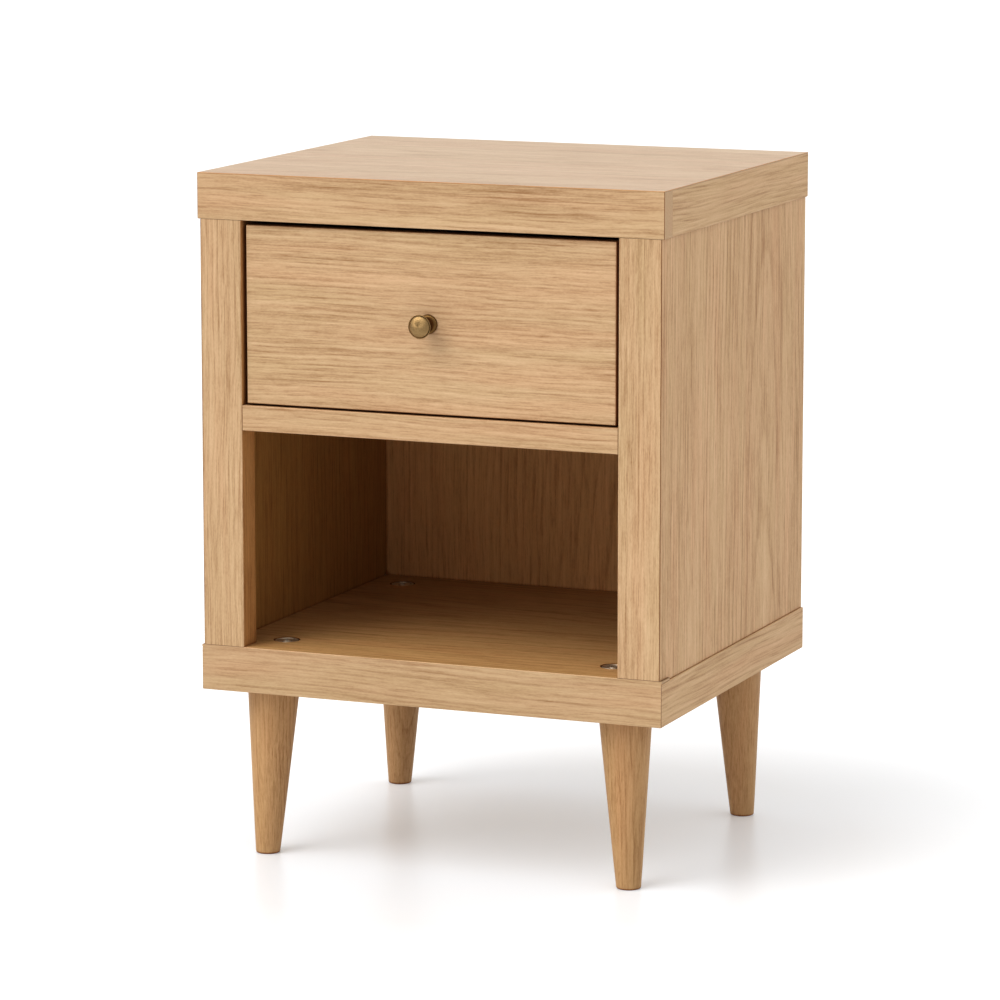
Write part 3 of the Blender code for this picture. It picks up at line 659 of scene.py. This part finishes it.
def make_top_slab():
    """The veneer sheet laps the edgings without a seam, and the slab's outer edges are rounded."""
    low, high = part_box("top_veneer")
    dark = oak("oak_top_arris", "Z", 15.7, tone=0.45, tint=ARRIS_TINT)
    # The top's rounded rim is darker: painted shade
    rim_shade = oak("oak_top_rim_shade", "X", 5.9, tone=0.85, tint=ARRIS_TINT, contrast=0.8)
    shape = welded_copy("top_veneer")
    for vert in shape.verts:
        if vert.co.z < high.z - WELD:
            vert.co.z -= SEAM_GAP
    upright = [e for e in shape.edges if abs(e.verts[0].co.z - e.verts[1].co.z) > WELD]
    ease(shape, upright, ARRIS, 1)
    rim = [e for e in corner_edges(shape) if all(near(v.co.z, high.z) for v in e.verts)]
    # The rim's rounded faces take the painted shade
    ease(shape, rim, RIM_EASE, 2)
    flat_and_outward(shape)
    veneer = oak("oak_top", "X", 3.1, tone=0.78, tint=TOP_TINT, contrast=0.9,
                 lines=0.15, gloss=0.5, roughness=0.42)
    piece_from(shape, "top_veneer_eased", (veneer, dark, rim_shade), "top_veneer")
    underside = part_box("top_front_edging")[0].z

    def radius_of(middle):
        outer_x = near(abs(middle.x), high.x)
        outer_y = near(middle.y, low.y) or near(middle.y, high.y)
        if middle.z > low.z - UNDER_VENEER:
            return 0
        if outer_x and outer_y:
            return ARRIS
        if near(middle.z, underside) and (outer_x or outer_y):
            return EDGE_EASE
        return SEAM_EASE / 2

    eased_board("top_front_edging", oak("oak_top_front", "X", 7.7, contrast=0.88, broad=0.5),
                radius_of, dark)
    eased_board("top_rear_edging", oak("oak_top_rear", "X", 9.3), radius_of, dark)
    for index, side in enumerate(("left", "right")):
        edging = oak(f"oak_top_{side}", "Y", 12.4 + 3 * index, tint=EDGING_TINT,
                     contrast=0.85, stretch=2.6)
        eased_board(f"top_{side}_edging", edging, radius_of, dark)


def make_base_slab():
    """The front edging's upper edge has a painted highlight in the cubby's mouth, and painted shade
    below the stiles.
    """
    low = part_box("base_front_edging")[0]
    high = Vector((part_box("base_front_edging")[1].x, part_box("base_rear_edging")[1].y,
                   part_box("base_panel")[1].z))
    dark = oak("oak_arris", "Z", 17.3, tone=0.42, tint=ARRIS_TINT)

    def radius_of(middle):
        outer_x = near(abs(middle.x), high.x)
        outer_y = near(middle.y, low.y) or near(middle.y, high.y)
        if outer_x and outer_y:
            return ARRIS
        if near(middle.z, high.z) and not (outer_x or outer_y):
            return 0
        return EDGE_EASE if outer_x or outer_y else SEAM_EASE / 2

    front_oak = oak("oak_base_front", "X", 21.9, tone=0.94, contrast=0.8)
    front = eased_board("base_front_edging", front_oak, radius_of, dark)
    mouth = nearest_x("right_stile")
    cut_across(front, (-mouth, mouth))
    # A painted highlight on the edge in the cubby's mouth
    face_with(front, oak("oak_mouth_highlight", "X", 22.8, tone=1.3, contrast=0.5),
              lambda centre, normal: (abs(centre.x) < mouth and normal.y < -SLANTING
                                      and normal.z > SLANTING))
    # Painted shade on the ledge below the stiles
    face_with(front, oak("oak_base_ledge_shade", "X", 24.2, tone=0.70, contrast=0.6),
              lambda centre, normal: abs(centre.x) > mouth and normal.z > SLANTING)
    eased_board("base_rear_edging", oak("oak_base_rear", "X", 25.2), radius_of, dark)
    for index, side in enumerate(("left", "right")):
        edging = oak(f"oak_base_{side}", "Y", 31.5 + 4 * index, tint=EDGING_TINT,
                     contrast=0.85, stretch=2.6)
        eased_board(f"base_{side}_edging", edging, radius_of, dark)
    # The cubby floor's oak is redder: painted shade
    floor = oak("oak_base_panel", "X", 36.6, tint=CUBBY_FLOOR_SHADE_TINT, pith=(0.02, -0.05))
    eased_board("base_panel", floor, lambda middle: 0)
    make_floor_veneer(floor, high.z)


def make_floor_veneer(material, height):
    """A thin sheet over the cubby floor, which hides the base's seams. Its holes are round."""
    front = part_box("base_front_edging")[0].y + EDGE_EASE
    wall = nearest_x("right_side_panel")
    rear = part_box("back_panel")[0].y
    outline = [(-wall, front), (wall, front), (wall, rear), (-wall, rear)]
    curve = bpy.data.curves.new("floor_veneer_outline", "CURVE")
    curve.dimensions = "2D"
    curve.fill_mode = "BOTH"
    curve.extrude = SKIN / 2
    washers = [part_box(node) for node in sorted(NODES) if node.startswith("leg_washer")]
    holes = [((low + high) / 2, (high.x - low.x) / 2 + HOLE_GAP) for low, high in washers]
    turns = [math.tau * step / HOLE_STEPS for step in range(HOLE_STEPS)]
    rounds = [[(middle.x + radius * math.cos(turn), middle.y + radius * math.sin(turn))
               for turn in turns] for middle, radius in holes]
    for points in [outline] + rounds:
        spline = curve.splines.new("POLY")
        spline.points.add(len(points) - 1)
        spline.use_cyclic_u = True
        for point, (x, y) in zip(spline.points, points):
            point.co = (x, y, height + SKIN, 1)
    sheet = bpy.data.objects.new("floor_veneer_sheet", curve)
    bpy.context.scene.collection.objects.link(sheet)
    mesh = bpy.data.meshes.new_from_object(sheet.evaluated_get(
        bpy.context.evaluated_depsgraph_get()))
    bpy.data.objects.remove(sheet)
    shape = bmesh.new()
    shape.from_mesh(mesh)
    bpy.data.meshes.remove(mesh)
    flat_and_outward(shape)
    piece_from(shape, "floor_veneer", (material,), "base_panel", False)


def make_sides():
    """Side panels and stiles meet in a dark mitre line, and their inner faces are painted browner
    as shade.
    """
    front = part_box("left_stile")[0].y
    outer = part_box("right_side_panel")[1].x
    inner = nearest_x("right_stile")
    wall = nearest_x("right_side_panel")
    dark = oak("oak_mitre", "Z", 19.7, tone=0.55, tint=ARRIS_TINT)
    # Shaded copies of the oak for the inner faces: painted shade
    wall_shade_oak = oak("oak_inside_shade", "Z", 44.9, tint=WALL_SHADE_TINT, contrast=0.9)
    reveal_shade_oak = oak("oak_reveal_shade", "Z", 47.2, tint=REVEAL_SHADE_TINT, contrast=0.9)

    def radius_of(middle):
        if near(middle.y, front) and near(abs(middle.x), outer):
            return ARRIS
        return EDGE_EASE if near(middle.y, front) and near(abs(middle.x), inner) else SEAM_EASE

    def faces_in(centre, normal):
        facing = abs(normal.x) > FACING and centre.y > front + ARRIS
        return facing and abs(centre.x) < wall + WELD

    for index, side in enumerate(("left", "right")):
        stile = oak(f"oak_stile_{side}", "Z", 41.3 + 5 * index, fineness=1.25)
        face_with(eased_board(f"{side}_stile", stile, radius_of, dark), reveal_shade_oak, faces_in)
        panel = oak(f"oak_side_{side}", "Z", 52.1 + 6 * index, tone=0.97 + 0.05 * index,
                    tint=SIDE_TINT, fineness=1.1, broad=0.4, lines=0.32,
                    pith=(0.10, 0.10), lean=(0.03, 0.02), spacing=0.006)
        face_with(eased_board(f"{side}_side_panel", panel, radius_of, dark), wall_shade_oak, faces_in)


def make_divider_and_back():
    """The rail, the shelf behind it, and the back, whose inner face is painted lighter and redder
    than its outer one, for the warm bounce light in the cubby.
    """
    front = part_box("divider_rail")[0].y
    eased_board("divider_rail", oak("oak_rail", "X", 63.7, contrast=0.8),
                lambda middle: RAIL_EASE if near(middle.y, front) else SEAM_EASE)
    eased_board("divider_shelf", oak("oak_shelf", "X", 67.1), lambda middle: SEAM_EASE)
    # Painted bounce light on the back's inner face: lighter and redder
    back = oak("oak_back", "Z", 71.9, tone=1.38, tint=BACK_BOUNCE_LIGHT_TINT, contrast=0.85,
               pith=(0.05, 0.06), spacing=0.005)
    outside = oak("oak_back_outside", "Z", 76.3, tone=0.95, contrast=0.8, lines=0.25)
    face_with(eased_board("back_panel", back, lambda middle: 0), outside,
              lambda centre, normal: normal.y > FACING)


# ---------------------------------------------------------------- legs and their fittings

def ring_of(node, height):
    """The middle and the radius of a node's outline at a height."""
    ring = [v.co for v in NODES[node].data.vertices if abs(v.co.z - height) < SLICE]
    low = Vector((min(p.x for p in ring), min(p.y for p in ring), height))
    high = Vector((max(p.x for p in ring), max(p.y for p in ring), height))
    return (low + high) / 2, (high.x - low.x) / 2


def make_legs():
    """Turned legs: a straight taper, a rounded foot, and a flat top tight against the base."""
    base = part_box("base_panel")[0].z
    for index, corner in enumerate(("front_left", "front_right", "rear_left", "rear_right")):
        node = f"leg_{corner}"
        top_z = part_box(node)[1].z
        head, head_radius = ring_of(node, top_z)
        foot, sole_radius = ring_of(node, 0)
        lean = (head - foot) / top_z
        foot_radius = sole_radius + FOOT_EASE
        taper = (head_radius - foot_radius) / top_z
        profile = [(0, 0), (sole_radius - SOLE_INSET, 0)]
        for angle in quarter_turn(4):
            profile.append((foot_radius - FOOT_EASE + FOOT_EASE * math.sin(angle),
                            FOOT_EASE * (1 - math.cos(angle))))
        for step in range(1, LEG_STEPS + 1):
            height = FOOT_EASE + (base - FOOT_EASE) * step / LEG_STEPS
            profile.append((foot_radius + taper * height, height))
        profile.append((0, base))
        # The rear legs' darker tones are painted shade
        wood = oak(f"oak_{node}", "Z", 81.3 + 7 * index, tone=LEG_TONES_AND_SHADE[index], tint=LEG_TINT,
                   contrast=0.85, fineness=1.4, pith=(0.02, -0.05), spacing=0.0035)
        piece = spun(profile, Vector((0, 0, 0)), (0, 0, 1), TURNED_STEPS, f"{node}_turned", wood,
                     node)
        shear = Matrix.Shear("XY", 4, (lean.x, lean.y))
        piece.data.transform(Matrix.Translation(foot) @ shear)


def member_place(node):
    """How far a slide member's nearer and farther sides are from the object's middle, its front,
    its rear, and the height of its middle."""
    low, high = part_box(node)
    near_x, far_x = sorted((abs(low.x), abs(high.x)))
    return near_x, far_x, low.y, high.y, (low.z + high.z) / 2


def domed(radius, height):
    """The profile of a low round head standing on its base."""
    arc = [(radius * math.sin(angle), height * math.cos(angle) ** HEAD_POWER)
           for angle in quarter_turn(6)[:-1]]
    return arc + [(radius, height * HEAD_RIM), (radius, 0), (0, 0)]


def make_slide_details(steel, plastic):
    """Screws and a release lever on the drawer members, rivets and balls on the middle ones."""
    for side, sign in (("left", -1), ("right", 1)):
        inner = f"{side}_slide_inner"
        web, _, front, rear, height = member_place(inner)
        face = sign * (web + SLIDE_SHEET)
        for index, along in enumerate((*SCREWS_FROM_FRONT, rear - front - SCREW_FROM_REAR)):
            spun(domed(*SCREW_HEAD), Vector((face, front + along, height)), (sign, 0, 0),
                 HEAD_STEPS, f"{side}_slide_screw_{index}", steel, inner, False)
        make_lever(f"{side}_slide_lever", face, sign, front + LEVER_START, height, plastic, inner)
        middle = f"{side}_slide_middle"
        near_x, far_x, front, rear, height = member_place(middle)
        for index, along in enumerate((*RIVETS_FROM_FRONT, rear - front - RIVET_FROM_REAR)):
            spun(domed(*RIVET_HEAD), Vector((sign * far_x, front + along, height)), (sign, 0, 0),
                 HEAD_STEPS, f"{side}_slide_rivet_{index}", steel, middle, False)
        make_balls(f"{side}_slide_balls", sign * (near_x + far_x - SLIDE_SHEET) / 2, front,
                   middle, inner, steel)


def make_lever(name, x, sign, front, height, material, node):
    """A slim curved lever with rounded edges, lying against a slide member."""
    shape = bmesh.new()
    base = [shape.verts.new((x, front + y, height + z)) for y, z in LEVER_OUTLINE]
    crown = [shape.verts.new((x + sign * LEVER_THICK, front + y, height + z))
             for y, z in LEVER_OUTLINE]
    shape.faces.new(base)
    shape.faces.new(crown)
    for i, j in zip(range(len(base)), list(range(1, len(base))) + [0]):
        shape.faces.new((base[i], base[j], crown[j], crown[i]))
    bmesh.ops.recalc_face_normals(shape, faces=shape.faces)
    ease(shape, [e for e in shape.edges if all(v in crown for v in e.verts)], LEVER_EASE)
    piece_from(shape, name, (material,), node, False)


def make_balls(name, x, front, middle, inner, material):
    """Two rows of balls behind the middle member's front, above and below the drawer member."""
    low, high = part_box(middle)
    height = (low.z + high.z) / 2
    reach = high.z - SLIDE_SHEET - height
    gap = reach - (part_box(inner)[1].z - height)
    shape = bmesh.new()
    for step in range(BALLS):
        for up in (-1, 1):
            centre = Vector((x, front + FIRST_BALL + BALL_STEP * step,
                             height + up * (reach - gap / 2)))
            bmesh.ops.create_icosphere(shape, subdivisions=2, radius=gap / 2 - SEAM_GAP,
                                       matrix=Matrix.Translation(centre))
    balls = piece_from(shape, name, (material,), middle, False)
    balls.data.shade_smooth()


def make_fittings():
    """The leg fittings, the screws and the slides, and the fibreboard parts out of sight."""
    # The nickel fittings take painted shade in their recesses
    nickel = plated_steel("nickel_steel", "X", NICKEL, NICKEL_ROUGHNESS, BOLT_SHADE_REACH)
    zinc = {axis: plated_steel(f"zinc_steel_{axis.lower()}", axis, ZINC, ZINC_ROUGHNESS)
            for axis in "YZ"}
    make_slide_details(zinc["Z"], dark_plastic())
    for node in sorted(NODES):
        if node.startswith(("leg_bolt", "leg_washer", "leg_insert")):
            smooth_fitting(node, nickel)
        elif "screw" in node:
            smooth_fitting(node, zinc["Z"])
        elif "_slide_" in node and not node.endswith("spacer"):
            eased_board(node, zinc["Y"], lambda middle: SEAM_EASE, swell=0)
    board = fibreboard("fibreboard")
    for node in ("left_slide_spacer", "right_slide_spacer", "top_core"):
        eased_board(node, board, lambda middle: SEAM_EASE)


# ---------------------------------------------------------------- the drawer

def make_drawer():
    """An oak front with well rounded edges, on a box of birch plywood."""
    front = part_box("drawer_front")[0].y
    face = oak("oak_drawer_front", "X", 95.9, contrast=0.95, pith=(-0.10, 0.05),
               lean=(0.05, 0.02), spacing=0.005)
    eased_board("drawer_front", face,
                lambda middle: FRONT_EASE if near(middle.y, front) else EDGE_EASE)
    for index, node in enumerate(("drawer_left_side", "drawer_right_side")):
        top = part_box(node)[1].z
        eased_board(node, plywood(f"birch_{node}", "X", 1.7 + index),
                    lambda middle, top=top: DRAWER_BOX_EASE if near(middle.z, top) else SEAM_EASE)
    for index, node in enumerate(("drawer_box_front", "drawer_box_back")):
        eased_board(node, plywood(f"birch_{node}", "Y", 4.7 + index),
                    lambda middle: SEAM_EASE)
    eased_board("drawer_bottom", plywood("birch_drawer_bottom", "Z", 7.3),
                lambda middle: SEAM_EASE)


def make_knob():
    """A mushroom knob: a dome inside a fine rim, and a neck that flares into its base."""
    low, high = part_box("knob")
    centre = Vector(((low.x + high.x) / 2, high.y, (low.z + high.z) / 2))
    reach = high.y - low.y
    radius = (high.x - low.x) / 2
    rim = reach - DOME_HEIGHT
    bead = radius * KNOB_BEAD
    under = rim - 2 * bead
    neck = radius * KNOB_NECK
    flange = radius * KNOB_FLANGE
    profile = [(radius * KNOB_FACE * math.sin(angle),
                rim + DOME_HEIGHT * (math.cos(angle) ** DOME_POWER)) for angle in quarter_turn(16)]
    profile.append((radius * KNOB_GROOVE, rim - GROOVE_DEPTH))
    profile += [(radius - bead + bead * math.sin(2 * angle), rim - bead * (1 - math.cos(2 * angle)))
                for angle in quarter_turn(8)]
    profile += [(neck + (radius * KNOB_UNDER - neck) * (1 - math.sin(angle)),
                 under - UNDER_HEIGHT * math.sin(angle) ** 2) for angle in quarter_turn(12)[1:]]
    profile += [(neck + (flange * FLARE_SHARE - neck) * (1 - math.cos(angle)),
                 FLARE_START + FLARE_HEIGHT * (1 - math.sin(angle))) for angle in quarter_turn(12)]
    profile += [(flange, FLANGE_HEIGHT), (flange, 0), (0, 0)]
    spun(profile, centre, (0, -1, 0), TURNED_STEPS, "knob_turned", antique_brass(centre, reach),
         "knob")


# ---------------------------------------------------------------- stage, light and camera

def make_floor():
    """A pale floor that glows a little, and more in a ring round the object's pool of shade."""
    n = Nodes("floor")
    haze = n.noise(n.here(), (3, 3, 3), 2.0)
    far = n.math("DIVIDE", n.vector("LENGTH", n.here()), RING_FADED)
    pool, inner, outer = (radius / RING_FADED for radius in (POOL_RADIUS, RING_INNER, RING_OUTER))
    # Bluer near the object: painted colour that cancels the wood's warm light in the floor's shade
    n.put(n.shader.inputs["Base Color"], n.ramp(far, [(0, FLOOR_NEAR_COOLED), (pool, FLOOR_FAR)]))
    n.put(n.shader.inputs["Emission Color"], (1, 1, 1, 1))
    n.put(n.shader.inputs["Emission Strength"],
          n.grey_ramp(far, [(pool, FLOOR_GLOW), (inner, RING_GLOW), (outer, RING_GLOW),
                            (1, FLOOR_GLOW)]))
    n.put(n.shader.inputs["Roughness"], n.math("ADD", 0.30, n.math("MULTIPLY", haze, 0.04)))
    n.put(n.shader.inputs["Specular IOR Level"], FLOOR_GLOSS)
    shape = bmesh.new()
    bmesh.ops.create_grid(shape, x_segments=1, y_segments=1, size=FLOOR_HALF)
    mesh = bpy.data.meshes.new("floor")
    shape.to_mesh(mesh)
    shape.free()
    mesh.materials.append(n.material)
    floor = bpy.data.objects.new("floor", mesh)
    bpy.context.scene.collection.objects.link(floor)


def direction(azimuth, elevation):
    """Where something stands round the object: azimuth 0 is in front, positive to the right."""
    a, e = math.radians(azimuth), math.radians(elevation)
    return Vector((math.sin(a) * math.cos(e), -math.cos(a) * math.cos(e), math.sin(e)))


def smooth_range(tree, value, start, end, low, high):
    """Goes smoothly from low to high as the value goes from start to end."""
    node = tree.nodes.new("ShaderNodeMapRange")
    node.interpolation_type = "SMOOTHSTEP"
    tree.links.new(value, node.inputs["Value"])
    node.inputs["From Min"].default_value = start
    node.inputs["From Max"].default_value = end
    node.inputs["To Max"].default_value = high
    if isinstance(low, bpy.types.NodeSocket):
        tree.links.new(low, node.inputs["To Min"])
    else:
        node.inputs["To Min"].default_value = low
    return node.outputs["Result"]


def make_light():
    """The white room, dimmer in front of the object, and the large soft lights."""
    world = bpy.data.worlds.new("studio")
    world.use_nodes = True
    bpy.context.scene.world = world
    tree = world.node_tree
    towards = tree.nodes.new("ShaderNodeSeparateXYZ")
    tree.links.new(tree.nodes.new("ShaderNodeTexCoord").outputs["Generated"], towards.inputs[0])
    walls = smooth_range(tree, towards.outputs["Y"], *ROOM_TURN, ROOM_FRONT, ROOM_BACK)
    glow = smooth_range(tree, towards.outputs["Z"], *ROOM_RISE, walls, ROOM_TOP)
    tree.nodes["Background"].inputs["Color"].default_value = (1, 1, 1, 1)
    tree.links.new(glow, tree.nodes["Background"].inputs["Strength"])
    for name, strength, spread, azimuth, elevation in LIGHTS:
        lamp = bpy.data.lights.new(name, "SUN")
        lamp.energy = strength
        lamp.angle = math.radians(spread)
        light = bpy.data.objects.new(name, lamp)
        towards = direction(azimuth, elevation)
        light.rotation_euler = towards.to_track_quat("Z", "Y").to_euler()
        bpy.context.scene.collection.objects.link(light)


def make_camera():
    """A long lens in front of the object, to its right and a little above it."""
    low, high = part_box("top_veneer")
    aim = Vector(((low.x + high.x) / 2, (low.y + high.y) / 2, high.z / 2)) + AIM_OFFSET
    towards = direction(CAMERA_AZIMUTH, CAMERA_ELEVATION)
    data = bpy.data.cameras.new("camera")
    data.lens = CAMERA_LENS
    data.sensor_width = CAMERA_SENSOR
    data.clip_end = CAMERA_REACH
    camera = bpy.data.objects.new("camera", data)
    camera.location = aim + towards * CAMERA_DISTANCE
    camera.rotation_euler = towards.to_track_quat("Z", "Y").to_euler()
    bpy.context.scene.collection.objects.link(camera)
    bpy.context.scene.camera = camera


make_top_slab()
make_base_slab()
make_sides()
make_divider_and_back()
make_legs()
make_fittings()
make_drawer()
make_knob()
make_floor()
make_light()
make_camera()
bpy.context.scene.view_settings.view_transform = "Standard"
bpy.context.scene.view_settings.gamma = 1 / CONTRAST
